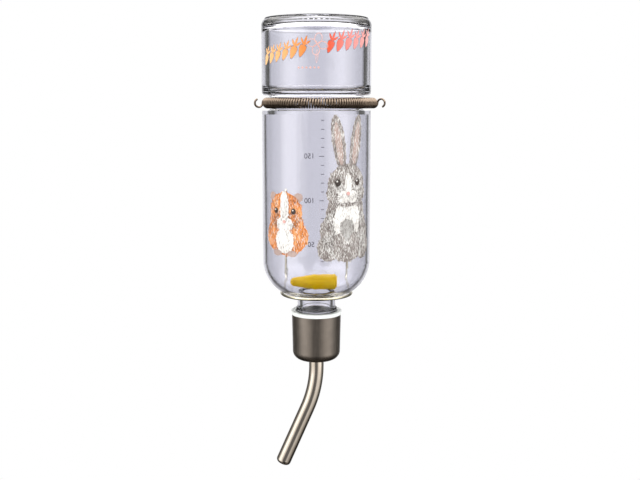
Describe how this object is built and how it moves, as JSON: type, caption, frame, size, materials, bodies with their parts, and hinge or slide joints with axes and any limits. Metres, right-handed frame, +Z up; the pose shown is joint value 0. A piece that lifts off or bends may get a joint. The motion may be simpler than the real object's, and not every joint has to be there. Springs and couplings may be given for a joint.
{
  "type": "small animal water bottle",
  "caption": "Glass drinking bottle hung neck down in a wire bracket, with a coil spring in its waist, a screw cap, a bent ball-valve tube and a level float inside.",
  "frame": {"origin": "centre line of the cage bar that the bracket hooks over, midway between its two hooks", "axes": "+Z up along the hanging bottle, +X along the cage bar, the front of the bottle faces -Y"},
  "size_m": [0.0654, 0.0638, 0.2317],
  "materials": {
    "bottle_glass": "clear blown glass",
    "float_plastic": "satin",
    "spring_steel": "drawn spring wire",
    "bracket_steel": "bright plated wire",
    "cap_steel": "drawn and brushed stainless sheet",
    "insert_plastic": "moulded polypropylene",
    "washer_silicone": "silicone",
    "tube_steel": "polished stainless tube",
    "ball_steel": "ground ball"
  },
  "bodies": {
    "bracket": {"bracket": "bracket_steel"},
    "bottle": {"bottle": "bottle_glass"},
    "spring": {"spring": "spring_steel"},
    "level_float": {"level_float": "float_plastic"},
    "washer": {"washer": "washer_silicone"},
    "cap": {"cap_shell": "cap_steel", "thread_insert": "insert_plastic", "drinking_tube": "tube_steel"},
    "tip_ball": {"tip_ball": "ball_steel"},
    "upper_ball": {"upper_ball": "ball_steel"}
  },
  "joints": [
    {"name": "bottle_lift", "type": "slide", "parent": "bracket", "child": "bottle", "axis": [0, 0, 1], "range_m": [0, 0.075]},
    {"name": "spring_pull_off", "type": "slide", "parent": "bottle", "child": "spring", "axis": [0, -1, 0], "range_m": [0, 0.06]},
    {"name": "float_rise", "type": "slide", "parent": "bottle", "child": "level_float", "axis": [0, 0, 1], "range_m": [0, 0.118]},
    {"name": "cap_travel", "type": "slide", "parent": "bottle", "child": "washer", "axis": [0, 0, -1], "range_m": [0, 0.0046]},
    {"name": "cap_turn", "type": "hinge", "parent": "washer", "child": "cap", "pos_m": [0, -0.03135, -0.0834], "axis": [0, 0, -1], "range_deg": [0, 540]},
    {"name": "tip_ball_lift", "type": "slide", "parent": "cap", "child": "tip_ball", "axis": [0.4082, 0.1094, 0.9063], "range_m": [0, 0.003]},
    {"name": "upper_ball_lift", "type": "slide", "parent": "cap", "child": "upper_ball", "axis": [0.4082, 0.1094, 0.9063], "range_m": [0, 0.003]}
  ],
  "couplings": [
    {"joint": "cap_travel", "follows": "cap_turn", "m_per_rad": 0.00047746},
    {"joint": "upper_ball_lift", "follows": "tip_ball_lift", "ratio": 1}
  ]
}
